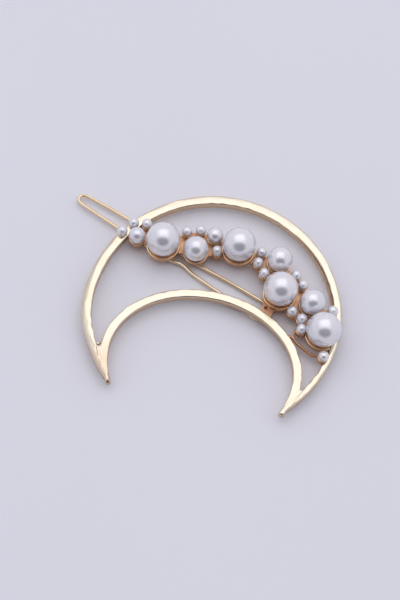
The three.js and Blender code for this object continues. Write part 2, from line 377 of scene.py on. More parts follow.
compass = compass_of(outline)
on_outer = np.linalg.norm((outline - HEART) / [30, 29.5], axis=1) > 0.93
filed = np.where(on_outer, np.interp(compass, FACET_COMPASS, FACET_WIDTHS), HOLLOW_FACET)
for _ in range(12):
    filed = (np.roll(filed, 1) + filed + np.roll(filed, -1)) / 3
facet = filed * (1 + 0.12 * unevenness(turn, 24, 90, 12, 3))
facet_drop = np.minimum(0.75 * facet, DEEPEST_FACET)
lip = LIP_WIDTH + 0.056 * unevenness(turn, 30, 120, 14, 5)
broad_lip = np.where(on_outer, np.interp(compass, LIP_COMPASS, LIP_SHARES), 0)
lip = np.clip(lip + BROAD_LIP_WIDTH * broad_lip, 0.06, 0.7)
lip_drop = 0.8 * lip + BROAD_LIP_DROP * broad_lip
print("facet from", facet.min().round(2), "to", facet.max().round(2), "mm wide")


# %% The crescent's face
DOME, SLOW_WAVES, LIFT_WAVES, GROOVE = 0.05, 0.022, 0.018, 0.11
GROOVE_AT, GROOVE_WIDTH = CROWN_STEPS + 0.14 * FAN_STEPS, 4.5


def worked_face(share):
    """Height of the polished face over its level: a slight dome, slow hand-made waves, and the
    groove beside the left horn, a bell curve across the sections."""
    dome = DOME * 4 * share * (1 - share)
    slow = SLOW_WAVES * unevenness(turn, 16, 60, 10, 11)[:, None] * (2 * share - 1)
    lift = LIFT_WAVES * unevenness(turn, 10, 40, 8, 17)[:, None] * np.ones_like(share)
    crease = bell(np.arange(len(outline)) - GROOVE_AT, GROOVE_WIDTH)
    groove = -GROOVE * crease[:, None] * np.clip(5 * share * (1 - share), 0, 1)
    return dome + slow + lift + groove


ring = cast_ring(outline, window, BACK, FRONT - 0.03, facet, facet_drop, lip, lip_drop,
                 worked_face)
crescent = new_piece("crescent", ring, True, True)
print("crescent:", len(crescent.data.polygons), "faces")


# %% [markdown]
# ## The pearl tray
# The tray is cast in one piece: a round cup under every pearl, short webs between neighbouring
# cups, a bridge and thin ribs down to the inner band. A cup is a profile turned round its axis,
# a web is a rounded bar with hollow sides. They are joined as solids, then the cups are bored
# and the pegs that hold the pearls are added.


# %% Turned shapes
CUP_RATIO, CUP_WALL, GLUE = 0.98, 0.3, 0.05
CUP_TUCK = 0.28
CUP_SIDES = {1.25: 48, 2.0: 64, 3.0: 96, 4.0: 96}
DISH = RIM - 0.2


def turned(profile, centre, sides):
    """Profile (radius, z) turned round the vertical axis through centre; its ends lie on it."""
    profile = np.array(profile, float)
    turn = np.linspace(0, 2 * np.pi, sides, endpoint=False)[:, None]
    radius, z = profile[:, 0], profile[:, 1]
    shape = [centre[0] + radius * np.cos(turn), centre[1] + radius * np.sin(turn), z + 0 * turn]
    return np.stack(shape, -1)


def turned_solid(name, profile, centre, sides):
    """Closed piece turned from a profile whose first and last points lie on the axis."""
    return new_piece(name, turned(profile, centre, sides), True, False)


def cup_sizes(radius):
    """Cup radius, bore radius and peg radius for a bead."""
    return radius * CUP_RATIO, radius * CUP_RATIO - CUP_WALL, 0.2 + radius * 0.06


def cup_blank(bead):
    """Solid cup: a quarter ellipse from the flat underside to the wall, and a rounded rim."""
    x, y, _, radius = bead
    cup = cup_sizes(radius)[0]
    tuck = CUP_TUCK * cup
    bowl = np.linspace(0, np.pi / 2, 7)
    under = [(cup - tuck + tuck * math.sin(k), WEB - (WEB - BACK) * math.cos(k)) for k in bowl]
    profile = [(0, BACK), *under, (cup, RIM - 0.1), (cup - 0.03, RIM - 0.03), (cup - 0.08, RIM),
               (0, RIM)]
    return turned_solid("cup", profile, (x, y), CUP_SIDES[radius])


def cup_hollow(bead):
    """A small bead's cup has a plain bore with a rounded bottom. A larger bead lies in a dish that
    follows it up to DISH, and then opens straight to the rim."""
    x, y, z, radius = bead
    bore, seat = cup_sizes(radius)[1], radius + GLUE
    if radius < 1.5:
        floor = z - seat
        seat_line = [(0, floor), (bore - 0.2, floor), (bore - 0.06, floor + 0.06),
                     (bore, floor + 0.2)]
    else:
        tilt = np.linspace(0, math.acos((z - DISH) / seat), 8)
        seat_line = [(seat * math.sin(k), z - seat * math.cos(k)) for k in tilt]
    profile = [*seat_line, (bore, RIM - 0.08), (bore + 0.06, RIM), (bore + 0.1, RIM + 1),
               (0, RIM + 1)]
    return turned_solid("hollow", profile, (x, y), CUP_SIDES[radius])


def cup_peg(bead):
    """Peg from the cup's floor to the bead's centre, its top rounded."""
    x, y, z, radius = bead
    peg, foot = cup_sizes(radius)[2], z - radius - GLUE - 0.1
    profile = [(0, foot), (peg, foot), (peg, z - 0.15), (peg - 0.06, z - 0.04), (0, z)]
    return turned_solid("peg", profile, (x, y), 24)


# %% Webs between cups
WEB_REACH = 1.55
WEB_EDGE = 0.12
ROUND_POWER = 2.2


def rounded_bar(name, line, half_width, low, high, edge):
    """Closed bar along a line: a section with upright sides, whose top sinks by edge times the
    power ROUND_POWER of the distance from the middle. Each end is drawn together to a point."""
    way = np.gradient(line, axis=0)
    way /= np.linalg.norm(way, axis=1)[:, None]
    side = np.stack([way[:, 1], -way[:, 0]], -1)
    across = np.array([-0.6, -0.9, -1, -0.93, -0.75, -0.4, 0, 0.4, 0.75, 0.93, 1, 0.9, 0.6])
    rise = np.array([0, 0.25, 0.6, 1, 1, 1, 1, 1, 1, 1, 0.6, 0.25, 0.0])
    sink = edge * np.abs(across) ** ROUND_POWER * (rise == 1)
    xy = line[:, None] + side[:, None] * (half_width[:, None] * across)[..., None]
    z = low + (high[:, None] - low) * rise - sink
    ring = np.concatenate([xy, z[..., None]], 2)
    ends = [np.repeat(ring[[k]].mean(1, keepdims=True), ring.shape[1], 1) for k in (0, -1)]
    return new_piece(name, np.concatenate([ends[0], ring, ends[1]]), False, True)


def web(a, b):
    """Web from the centre of one cup to that of the next. Its half width and its top both lose a
    bell curve of the distance from the middle of the gap, so it is waisted and dished."""
    start, end = np.array(a[:2]), np.array(b[:2])
    cup_a, cup_b = cup_sizes(a[3])[0], cup_sizes(b[3])[0]
    length = np.linalg.norm(end - start)
    gap = length - cup_a - cup_b
    share = np.linspace(0, 1, 25)
    from_middle = share * length - (cup_a + gap / 2)
    half = min(0.52 * min(cup_a, cup_b), 0.9)
    waist = half - min(0.25 * half, 0.3) * bell(from_middle, gap / 2 + 0.35)
    top = WEB - 0.16 * bell(from_middle, gap / 2 + 0.3)
    line = start + (end - start) * share[:, None]
    return rounded_bar("web", line, waist, BACK, top, WEB_EDGE)


def neighbours(a, b):
    """Whether the gap between two beads' cups is narrow enough for a web."""
    apart = math.hypot(a[0] - b[0], a[1] - b[1])
    return apart - cup_sizes(a[3])[0] - cup_sizes(b[3])[0] < WEB_REACH


def pocket(three):
    """Plate that fills the gap between three cups: a triangle of their centres."""
    corners = np.array([bead[:2] for bead in three])
    if np.linalg.det(np.c_[corners, np.ones(3)]) < 0:
        corners = corners[::-1]
    middle = np.repeat(corners.mean(0)[None], 3, 0)
    rings = [(middle, BACK), (corners, BACK), (corners, WEB - 0.1), (middle, WEB - 0.1)]
    points = np.stack([np.c_[xy, np.full(3, z)] for xy, z in rings])
    return new_piece("pocket", points, False, True)


pairs = [(i, j) for i in range(len(beads)) for j in range(i + 1, len(beads))
         if neighbours(beads[i], beads[j])]
webs = [web(beads[i], beads[j]) for i, j in pairs]
pockets = [pocket((beads[i], beads[j], beads[k])) for i, j in pairs
           for k in range(j + 1, len(beads)) if (i, k) in pairs and (j, k) in pairs]
print(len(webs), "webs and", len(pockets), "pockets between cups")


# %% [markdown]
# The bridge to the inner band is a small plate with hollow sides and a round hole, so it is a
# ring again: a section carried round between the hole and the outline. The ribs are thin rounded
# bars along a smooth line.


# %% Bridge
def holed_plate(outline, centre, radius, low, high, edge):
    """Closed ring between a round hole and an outline that is seen whole from the hole's centre;
    every edge is a quarter round."""
    angle = np.arctan2(outline[:, 1] - centre[1], outline[:, 0] - centre[0])
    hole = centre + radius * np.stack([np.cos(angle), np.sin(angle)], -1)
    out = (outline - hole) / np.linalg.norm(outline - hole, axis=1)[:, None]
    quarter = np.linspace(0, np.pi / 2, 5)
    inset, step = edge * (1 - np.sin(quarter)), edge * (1 - np.cos(quarter))
    up = np.concatenate([low + step, high - step[::-1]])
    draw = np.concatenate([inset, inset[::-1]])
    outer = outline[:, None] - out[:, None] * draw[:, None]
    inner = hole[:, None] + out[:, None] * draw[::-1, None]
    top, under = between(outer[:, -1:], inner[:, :1], 4), between(inner[:, -1:], outer[:, :1], 4)
    xy = np.concatenate([outer, top, inner, under], 1)
    z = np.concatenate([up, np.full(4, high), up[::-1], np.full(4, low)])
    return np.concatenate([xy, np.broadcast_to(z[None, :, None], (*xy.shape[:2], 1))], 2)


def bent_side(start, pull, end, count=16):
    """Quadratic curve from start to end, drawn towards pull."""
    s = np.linspace(0, 1, count)[:, None]
    return (1 - s) ** 2 * np.array(start) + 2 * s * (1 - s) * np.array(pull) + s**2 * np.array(end)


def smooth_line(points, per_bend):
    """Centripetal Catmull-Rom curve: between two bends a cubic whose slopes come from the
    neighbours, each weighted by the square root of its distance."""
    p = np.array(points, float)
    p = np.concatenate([[2 * p[0] - p[1]], p, [2 * p[-1] - p[-2]]])
    gap = np.maximum(np.linalg.norm(np.diff(p, axis=0), axis=1) ** 0.5, 1e-6)[:, None]
    d0, d1, d2 = gap[:-2], gap[1:-1], gap[2:]
    a, b, c, d = p[:-3], p[1:-2], p[2:-1], p[3:]
    out = ((b - a) / d0 - (c - a) / (d0 + d1) + (c - b) / d1) * d1
    into = ((c - b) / d1 - (d - b) / (d1 + d2) + (d - c) / d2) * d1
    s = np.linspace(0, 1, per_bend, endpoint=False)[None, :, None]
    a, b, out, into = b[:, None], c[:, None], out[:, None], into[:, None]
    cubic = (a * (2 * s**3 - 3 * s**2 + 1) + out * (s**3 - 2 * s**2 + s)
             + b * (3 * s**2 - 2 * s**3) + into * (s**3 - s**2))
    return np.concatenate([cubic.reshape(-1, p.shape[1]), p[-2:-1]])


BRIDGE_HOLE, BRIDGE_HOLE_RADIUS, BRIDGE_EDGE = HEART + [11.7, 4.75], 0.35, 0.14
BRIDGE_CORNERS = [(13.4, 1.2), (14.8, 5.6), (10.7, 6.9), (9.7, 2.2)]
BRIDGE_PULLS = [(12.9, 4.3), (12.8, 6.4), (11.2, 4.6), (11.6, 2.0)]
PLATE_STEPS = 97

sides = [bent_side(BRIDGE_CORNERS[k], BRIDGE_PULLS[k], BRIDGE_CORNERS[(k + 1) % 4])
         for k in range(4)]
bridge_outline = respaced(np.concatenate(sides), PLATE_STEPS)[:-1] + HEART
plate = holed_plate(bridge_outline, BRIDGE_HOLE, BRIDGE_HOLE_RADIUS, BACK, WEB, BRIDGE_EDGE)
bridge = new_piece("bridge", plate, True, True)

# %% Ribs
RIB_ROUTES = [
    [[15.6, -0.9], [16.6, -0.75], [17.6, -0.8], [19.3, -1.1]],
    [[19.1, -1.3], [19.2, 0.0], [19.5, 1.2], [20.1, 2.8]],
    [[18.9, -0.8], [19.9, -1.9], [21.2, -2.8], [23.6, -4.1], [26.2, -4.5]],
]
RIB_HALF, RIB_TOP, RIB_EDGE = 0.3, WEB - 0.3, 0.22


def rib(route):
    """Thin bar through a route's bends, its half width swelling as a cosine along it."""
    line = smooth_line(route, 12) + HEART
    swell = 1 + 0.12 * np.cos(np.linspace(0, 5 * np.pi, len(line)))
    return rounded_bar("rib", line, RIB_HALF * swell, BACK, np.full(len(line), RIB_TOP), RIB_EDGE)


ribs = [rib(route) for route in RIB_ROUTES]
print("bridge:", len(bridge.data.polygons), "faces;", len(ribs), "ribs")

# %% [markdown]
# Two little gate stubs stand up between the small pearls at the ends of the tray, and a third one
# was left in the left corner of the crescent's window. The lower half of the bands passes under
# the tray, so the tray is cut back above it, and the bands are cut back where the tray lies on
# them: the two castings meet without a gap, as soldered ones do.

# %% Join the tray
STUBS = [((-24.6, 16.9), 0.34, FRONT + 0.45), ((18.4, 12.95), 0.32, FRONT + 0.4)]
CORNER_STUB = ((-23.5, -13.1), 0.5, FRONT - 0.05)


def gate_stub(spot, radius, top):
    """Tapered stub turned round its axis, at a spot measured from the heart."""
    profile = [(0, BACK), (radius * 1.5, BACK), (radius * 1.2, WEB), (radius, top - 0.4),
               (radius * 0.8, top - 0.12), (radius * 0.4, top), (0, top)]
    return turned_solid("stub", profile, HEART + spot, 20)


crisp = np.full(len(outline), 0.02)
lower = cast_ring(outline, window, BACK - 0.5, LEDGE, crisp, crisp, crisp, crisp,
                  lambda share: 0 * share)
lower_bands = new_piece("lower bands", lower, True, True)

tray = cup_blank(beads[0])
tray.name = tray.data.name = "tray"
blanks = [cup_blank(bead) for bead in beads[1:]]
blanks += webs + pockets + [bridge] + ribs + [gate_stub(*stub) for stub in STUBS]
combine(tray, blanks, "UNION")
combine(tray, [lower_bands], "DIFFERENCE")
combine(tray, [cup_hollow(bead) for bead in beads], "DIFFERENCE")
combine(tray, [cup_peg(bead) for bead in beads], "UNION")

cutter = tray.copy()
cutter.data = tray.data.copy()
combine(crescent, [cutter], "DIFFERENCE")
combine(crescent, [gate_stub(*CORNER_STUB)], "UNION")

# %% [markdown]
# ## The pearls
# An imitation pearl is a glass or plastic bead dipped in nacre lacquer, half drilled from below.
# It is a turned profile too. Beads are never perfect spheres, so each one's radius varies by a
# fraction of a percent.


# %% Pearl beads
BEAD_STEPS = {1.25: (28, 40), 2.0: (40, 56), 3.0: (56, 72), 4.0: (56, 72)}
FIRST_SEED, WAVES, WAVE_HEIGHT = 100, 6, 0.0011


def bead_shape(bead, number):
    """Sphere of the bead's radius down to the hole's mouth, then the hole up to its end. The
    radius is multiplied by 1 plus a sum of small seeded cosine waves over the sphere."""
    x, y, z, radius = bead
    bore = cup_sizes(radius)[2] + GLUE
    rings, sides = BEAD_STEPS[radius]
    mouth = math.asin(bore * 1.25 / radius)
    tilt = np.linspace(0, np.pi - mouth, rings)
    profile = np.stack([np.sin(tilt), np.cos(tilt)], 1) * radius
    hole = np.array([(bore, profile[-1, 1] + 0.04), (bore, -0.3 * radius), (bore, GLUE), (0, GLUE)])
    profile = np.concatenate([profile, hole])
    shape = turned(profile, (0, 0), sides)
    draw = np.random.default_rng(FIRST_SEED + number)
    ways = draw.normal(size=(WAVES, 3))
    phase = shape @ ways.T * (1.6 / radius) + draw.uniform(0, 6, WAVES)
    swell = (np.cos(phase) * WAVE_HEIGHT).sum(-1)
    fade = np.clip((np.linalg.norm(shape, axis=-1) / radius - 0.8) / 0.2, 0, 1)
    shape = shape * (1 + swell * fade)[..., None] + [x, y, z]
    return new_piece(f"bead_{number:02d}", shape, True, False)


bead_pieces = [bead_shape(bead, number) for number, bead in enumerate(beads, 1)]
print("bead faces:", sum(len(b.data.polygons) for b in bead_pieces))

# %% [markdown]
# ## The wire clip
# One piece of drawn spring wire, bent into a long narrow U whose two bent ends turn in the lugs.
# A circle is carried along a smooth line through the bends. The bends are given along the legs
# and across them, from the hinge, which the joint places. Each point keeps its place round and
# along the wire as an attribute, so that drawing marks can follow the wire.

# %% Wire
WIRE_RADIUS = 0.4
LEG_RISE = 0.3 / 40
STEPS_PER_BEND = 14
WIRE_BENDS = [
    (0, 0.3), (0, 1.3), (0.15, 1.85), (0.7, 2.05), (4, 2.0), (10.7, 1.8), (19.3, 1.3),
    (30, 1.55), (40, 1.75), (48, 1.45), (51.6, 1.22), (52.6, 1.0), (53.3, 0.45), (53.4, -0.2),
    (53.1, -0.85), (52.3, -1.25), (48, -1.45), (40, -1.65), (30, -1.6), (25.2, -1.45),
    (22.4, -0.9), (19.6, -1.4), (16.5, -1.7), (10, -1.95), (3.5, -2.4), (0.75, -2.6),
    (0.15, -2.35), (0, -1.8), (0, -1.1),
]


def round_bar(line, radius, sides=24, nose=0.18):
    """Tube along a line that never stands upright, its ends rounded over the length nose: ring
    points are radius times cos to the side and sin upwards. Also gives (cos, sin, length)."""
    reach = lengths(line)
    fine = np.concatenate([nose * np.linspace(0, 1, 6) ** 2, reach[1:-1],
                           reach[-1] - nose * np.linspace(1, 0, 6) ** 2])
    fine = np.unique(fine[(fine >= 0) & (fine <= reach[-1])].round(4))
    path = np.stack([np.interp(fine, reach, line[:, k]) for k in range(3)], -1)
    way = np.gradient(path, axis=0)
    way /= np.linalg.norm(way, axis=1)[:, None]
    side = np.cross(way, [0, 0, 1])
    side /= np.linalg.norm(side, axis=1)[:, None]
    up = np.cross(side, way)
    from_end = np.minimum(fine, reach[-1] - fine)
    taper = np.sqrt(np.clip(1 - np.clip(1 - from_end / nose, 0, 1) ** 2, 0, 1))
    angle = np.linspace(0, 2 * np.pi, sides, endpoint=False)
    around = (side[:, None] * np.cos(angle)[:, None] + up[:, None] * np.sin(angle)[:, None])
    points = path[:, None] + radius * taper[:, None, None] * around
    marks = np.stack(np.broadcast_arrays(np.cos(angle), np.sin(angle), fine[:, None]), -1)
    return points, marks


bends = np.array(WIRE_BENDS)
route = PIVOT + bends[:, :1] * ALONG + bends[:, 1:] * ACROSS + [0, 0, LEG_RISE] * bends[:, :1]
wire_points, wire_marks = round_bar(smooth_line(route, STEPS_PER_BEND), WIRE_RADIUS)
wire = new_piece("wire", wire_points, False, True, weld=WELD / 10)
print("wire:", len(wire.data.polygons), "faces")


# %% [markdown]
# ## The hinge lugs
# Each bent end of the wire turns in a small upright plate that is soldered to the back, so its
# foot flares out. It is the bridge's holed plate again, set on edge: its x runs along the legs,
# its y upwards and its thickness across them.

# %% Hinge lugs
LUG_HALF, LUG_THICK, LUG_HOLE, LUG_EDGE = 0.85, 0.9, 0.45, 0.1
FLARE = [(0, -0.3), (0.12, -0.08), (0.25, 0.02)]


def lug(node):
    """Upright plate with a round hole. Its free end is a half circle squared off by the power
    0.75 of the cosine, and its foot widens by FLARE, (sideways, above the back)."""
    low, high = (np.array(corner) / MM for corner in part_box(node))
    middle = (low + high) / 2
    turn = np.linspace(-np.pi, 0, 49)
    free_end = np.stack([LUG_HALF * np.sign(np.cos(turn)) * np.abs(np.cos(turn)) ** 0.75,
                         PIVOT[2] + PIVOT[2] * np.sin(turn)], -1)
    foot = [(LUG_HALF + out, BACK + up) for out, up in FLARE]
    foot += [(-x, z) for x, z in foot[::-1]] + [(-LUG_HALF, PIVOT[2])]
    profile = respaced(np.concatenate([free_end, foot]), PLATE_STEPS)[:-1]
    flat = holed_plate(profile, np.array([0, PIVOT[2]]), LUG_HOLE, -LUG_THICK / 2, LUG_THICK / 2,
                       LUG_EDGE)
    shape = (flat[..., :1] * ALONG + flat[..., 2:] * ACROSS
             + flat[..., 1:2] * np.array([0, 0, 1]) + [middle[0], middle[1], 0])
    return new_piece(node.replace("hinge_lug", "lug"), shape, True, True)


lugs = {node: lug(node) for node in ("hinge_lug_upper", "hinge_lug_lower")}
print("lugs:", [len(piece.data.polygons) for piece in lugs.values()], "faces")

# %% [markdown]
# ## Shader maths as Python
# A socket is wrapped in a small class, so that 1 - mask or noise * 0.2 + 0.1 adds its Math nodes.
# One recipe object holds a material's nodes, and its one method adds any other node.


# %% Shader helpers
class Amount:
    """A number that varies over a surface: a socket that takes part in Python expressions."""

    def __init__(self, recipe, socket):
        self.recipe, self.socket = recipe, socket

    def maths(self, operation, *values):
        return self.recipe.node("ShaderNodeMath", {"operation": operation}, dict(enumerate(values)))

    def __add__(self, other):
        return self.maths("ADD", self, other)

    def __sub__(self, other):
        return self.maths("SUBTRACT", self, other)

    def __rsub__(self, other):
        return self.maths("SUBTRACT", other, self)

    def __mul__(self, other):
        return self.maths("MULTIPLY", self, other)

    __radd__, __rmul__ = __add__, __mul__


class Recipe:
    """The node tree of a material or of the world."""

    def __init__(self, tree):
        self.tree = tree
        tree.nodes.clear()

    def node(self, kind, settings=None, sockets=None, out=0):
        """Adds a node: settings first, such as a Math node's operation, then values or links of
        its sockets by name or number. Returns the output socket out."""
        made = self.tree.nodes.new(kind)
        for key, value in (settings or {}).items():
            setattr(made, key, value)
        for key, value in (sockets or {}).items():
            if isinstance(value, Amount):
                self.tree.links.new(value.socket, made.inputs[key])
            else:
                made.inputs[key].default_value = value
        return Amount(self, made.outputs[out]) if len(made.outputs) else made

    def noise(self, place, scale, detail=2.0, rough=0.5, stretch=(1, 1, 1), shift=(0, 0, 0)):
        """Noise from 0 to 1 on a place stretched and shifted by a Mapping node."""
        moved = self.node("ShaderNodeMapping", None,
                          {"Vector": place, "Location": shift, "Scale": stretch})
        return self.node("ShaderNodeTexNoise", None, {
            "Vector": moved, "Scale": scale, "Detail": detail, "Roughness": rough})

    def clamped(self, value, low, high, to_low=0.0, to_high=1.0):
        """Smooth step of a value from low..high to to_low..to_high."""
        return self.node("ShaderNodeMapRange", {"interpolation_type": "SMOOTHSTEP"}, {
            "Value": value, "From Min": low, "From Max": high, "To Min": to_low, "To Max": to_high})

    def mix(self, share, first, second):
        """Colour mix; first and second are colours or links."""
        return self.node("ShaderNodeMix", {"data_type": "RGBA"},
                         {0: share, 6: first, 7: second}, out=2)


def new_material(name):
    material = bpy.data.materials.new(name)
    material.use_nodes = True
    return material, Recipe(material.node_tree)


# %% [markdown]
# ## Pale gold plating
# Plated metal is a mirror with a colour, made lively by what happened to it: polishing marks that
# run along the bands, soft clouds where the plating is thicker or thinner, fine casting pits that
# the polish didn't reach, and edges where handling has rubbed it. The side walls, the hollows
# between the cups and a patch of the left horn are painted darker and warmer, which is painted
# shade, and the walls and hollows are rougher too. Colour and roughness vary with all of these,
# and a Bump node gives the marks and pits their relief.


# %% Gold
# Painted shade: the hollows between the tray's cups and a patch of the left horn are darkened towards
# this orange-brown.
PAINTED_SHADE_TONE = (0.55, 0.28, 0.15, 1)
SHAPE_MARKS = ("rubbed", "side", "painted_shade")


def gold(name, pale, warm, painted_wall_shade, rough, marks, mark_stretch, pits):
    """Gold plating with clouds of a pale and a warm tone. rough is its least roughness, pits how
    much the casting pits show, and marks the attribute that the polishing marks follow."""
    material, r = new_material(name)
    place = r.node("ShaderNodeTexCoord", out="Object")
    along = r.node("ShaderNodeAttribute", {"attribute_name": marks}, out="Vector")
    rubbed, side, painted_shade = (r.node("ShaderNodeAttribute", {"attribute_name": name}, out="Fac")
                          for name in SHAPE_MARKS)
    clouds = r.noise(place, 170, 3)
    patches = r.noise(place, 620, 2, shift=(0.3, 0.1, 0.7))
    lines = r.noise(along, 1.0, 3, 0.6, stretch=mark_stretch)
    hairlines = r.clamped(r.noise(along, 1.0, 2, 0.5, stretch=tuple(4 * k for k in mark_stretch)),
                          0.58, 0.72)
    grain = r.noise(place, 3600, 2)
    pitted = r.clamped(r.noise(place, 2300, 1, shift=(0.5, 0.2, 0)), 0.68, 0.8) * pits
    colour = r.mix(r.clamped(clouds, 0.35, 0.7, 0, 0.6), pale, warm)
    # Painted shade: the side walls are darkened towards the wall tone.
    colour = r.mix(side * (0.55 + patches * 0.5), colour, painted_wall_shade)
    # Painted shade in the hollows between the cups and on the left horn.
    colour = r.mix(painted_shade * (0.6 + patches * 0.4), colour, PAINTED_SHADE_TONE)
    colour = r.mix(pitted * 0.5 + rubbed * 0.15, colour, tuple(0.7 * k for k in warm[:3]) + (1,))
    roughness = (rough + clouds * 0.05 + lines * 0.07 + hairlines * 0.07 + pitted * 0.2
                 + patches * 0.04 + rubbed * 0.05 + side * 0.14 + painted_shade * 0.12)
    relief = (lines * 0.35 + hairlines * 0.15 + patches * 0.9 + grain * 0.12 - pitted * 0.6
              + side * grain * 0.5)
    normal = r.node("ShaderNodeBump", None, {
        "Strength": 1.0, "Distance": 0.9e-5, "Height": relief})
    surface = r.node("ShaderNodeBsdfPrincipled", None, {
        "Base Color": colour, "Metallic": 1.0, "Roughness": roughness, "Normal": normal})
    r.node("ShaderNodeOutputMaterial", None, {"Surface": surface})
    return material


BAND_STRETCH = (0.22, 7.0, 0.22)
polished_gold = gold("polished pale gold", (0.82, 0.735, 0.6, 1), (0.81, 0.67, 0.49, 1),
                     (0.6, 0.4, 0.24, 1), 0.09, "polish", BAND_STRETCH, 0.5)
# The tray's gold is warmer and more orange than the crescent's: painted shade and painted reflection of
# the gold and pearls around it.
tray_gold = gold("warm gold with painted shade", (0.93, 0.66, 0.41, 1), (0.86, 0.5, 0.28, 1),
                 (0.6, 0.36, 0.2, 1), 0.15, "polish", BAND_STRETCH, 0.8)
wire_gold = gold("drawn gold wire", (0.87, 0.7, 0.48, 1), (0.8, 0.59, 0.37, 1),
                 (0.6, 0.4, 0.22, 1), 0.13, "drawn", (5.0, 5.0, 0.25), 0.3)
print("nodes in the gold:", len(polished_gold.node_tree.nodes))

# %% [markdown]
# ## Nacre lacquer
# Pearl lacquer holds tiny mica flakes that lie along the surface, so it reflects like a soft
# metal over a white body, under a clear gloss coat. The mix of the two is what makes a pearl
# glow. Faint pink, green and lilac clouds tint it, and the dipped surface is never quite even.


# %% Nacre
def nacre():
    """Pearl lacquer: half metallic, its share drifting with the clouds, under a thin clear coat."""
    material, r = new_material("nacre lacquer")
    place = r.node("ShaderNodeTexCoord", out="Object")
    clouds = r.noise(place, 210, 2)
    drift = r.noise(place, 330, 2, shift=(0.4, 0.9, 0.2))
    flakes = r.noise(place, 5200, 2)
    skin = r.noise(place, 1150, 2, shift=(0.1, 0.6, 0.3))
    colour = r.mix(r.clamped(clouds, 0.35, 0.68), (0.86, 0.86, 0.92, 1), (0.92, 0.88, 0.9, 1))
    colour = r.mix(r.clamped(drift, 0.45, 0.75, 0, 0.5), colour, (0.85, 0.9, 0.9, 1))
    colour = r.mix(flakes * 0.04, colour, (0.96, 0.95, 1.0, 1))
    normal = r.node("ShaderNodeBump", None, {
        "Strength": 1.0, "Distance": 2.4e-6, "Height": skin + clouds * 1.5})
    surface = r.node("ShaderNodeBsdfPrincipled", None, {
        "Base Color": colour, "Metallic": clouds * 0.1 + 0.47,
        "Roughness": 0.23 + skin * 0.05 + flakes * 0.02, "Normal": normal,
        "Coat Weight": 0.5, "Coat Roughness": 0.13})
    r.node("ShaderNodeOutputMaterial", None, {"Surface": surface})
    return material


pearl_finish = nacre()
print("nodes in the nacre:", len(pearl_finish.node_tree.nodes))


# %% [markdown]
# ## Marks that follow the shape
# The polishing wheel ran along each band. Every point of the castings keeps its place along and
# across the nearer edge, the outer or the hollow one. How far a face is tilted says how much it
# is rubbed, and how much of it is side wall, which the gold darkens as painted shade. A last
# attribute says where more shade is painted: between the tray's cups below their rims, and a
# little on the left horn.


# %% Attributes
POLISH_SHIFT = 40
DEEP_FROM, DEEP_OVER = 0.12, 0.35
# Painted shade on a patch of the left horn: its compass angle and spread in degrees, and its amount.
HORN_SHADE_COMPASS, HORN_SHADE_SPREAD, HORN_SHADE_AMOUNT = 222, 12, 0.3


def points_of(mesh):
    flat = np.empty(len(mesh.vertices) * 3, np.float32)
    mesh.vertices.foreach_get("co", flat)
    return flat.reshape(-1, 3) / MM


def store(mesh, name, kind, values):
    layer = mesh.attributes.new(name, kind, "POINT")
    layer.data.foreach_set("vector" if kind == "FLOAT_VECTOR" else "value",
                           np.asarray(values, np.float32).ravel())


def edge_distance(points, edge):
    """Signed distance from an egg edge, near enough: (scaled radius - 1) times the half width.
    Also gives the place along it: the angle times the half width."""
    x, y = points[:, 0] - HEART[0], points[:, 1] - HEART[1] - edge["y"]
    height = np.where(y > 0, edge["rise"], edge["drop"])
    scaled = np.hypot(x / edge["half"], y / height)
    return (scaled - 1) * edge["half"], np.arctan2(y / height, x / edge["half"]) * edge["half"]


def mark_casting(piece):
    """Stores the polish's place (along, across, height) and the shape marks. With up the size of
    the normal's z, a point is rubbed by 4 up (1 - up) and side wall by 1.15 - 1.25 up."""
    points = points_of(piece.data)
    out_distance, out_along = edge_distance(points, OUTER_EDGE)
    in_distance, in_along = edge_distance(points, HOLLOW_EDGE)
    nearer_in = np.abs(in_distance) < np.abs(out_distance)
    along = np.where(nearer_in, in_along + POLISH_SHIFT, out_along)
    across = np.where(nearer_in, in_distance, out_distance)
    store(piece.data, "polish", "FLOAT_VECTOR", np.stack([along, across, points[:, 2]], 1))
    normals = np.empty(len(piece.data.vertices) * 3, np.float32)
    piece.data.vertex_normals.foreach_get("vector", normals)
    tilt = normals.reshape(-1, 3)[:, 2]
    up = np.abs(tilt)
    store(piece.data, "rubbed", "FLOAT", 4 * up * (1 - up))
    # The side share also darkens the walls in the gold's colour, as painted shade.
    store(piece.data, "side", "FLOAT", np.clip(1.15 - 1.25 * up, 0, 1))
    # Painted shade between the tray's cups below their rims, more on faces that look up.
    below_rims = np.clip((RIM - DEEP_FROM - points[:, 2]) / DEEP_OVER, 0, 1)
    below_rims *= np.clip(tilt + 0.75, 0.15, 1)
    # Painted shade on the left horn, a bell curve round that compass angle.
    horn_shade = HORN_SHADE_AMOUNT * bell(compass_of(points) - HORN_SHADE_COMPASS, HORN_SHADE_SPREAD)
    store(piece.data, "painted_shade", "FLOAT", below_rims if piece is tray else horn_shade)
    print(f"{piece.name}: {len(points)} points marked")


for casting in (crescent, tray, *lugs.values()):
    mark_casting(casting)

# %% [markdown]
# Welding may renumber the wire's points, so each one takes its mark from the nearest point of its
# grid, found block by block.

# %% Marks on the wire
BLOCK = 512

wire_places = points_of(wire.data)
flat_points = wire_points.reshape(-1, 3)
nearest = np.zeros(len(wire_places), int)
for start in range(0, len(wire_places), BLOCK):
    block = wire_places[start:start + BLOCK]
    apart = ((block[:, None] - flat_points[None]) ** 2).sum(-1)
    nearest[start:start + BLOCK] = apart.argmin(1)
store(wire.data, "drawn", "FLOAT_VECTOR", wire_marks.reshape(-1, 3)[nearest])
for name in SHAPE_MARKS:
    store(wire.data, name, "FLOAT", np.zeros(len(wire_places)))
print("wire:", len(wire_places), "points marked")


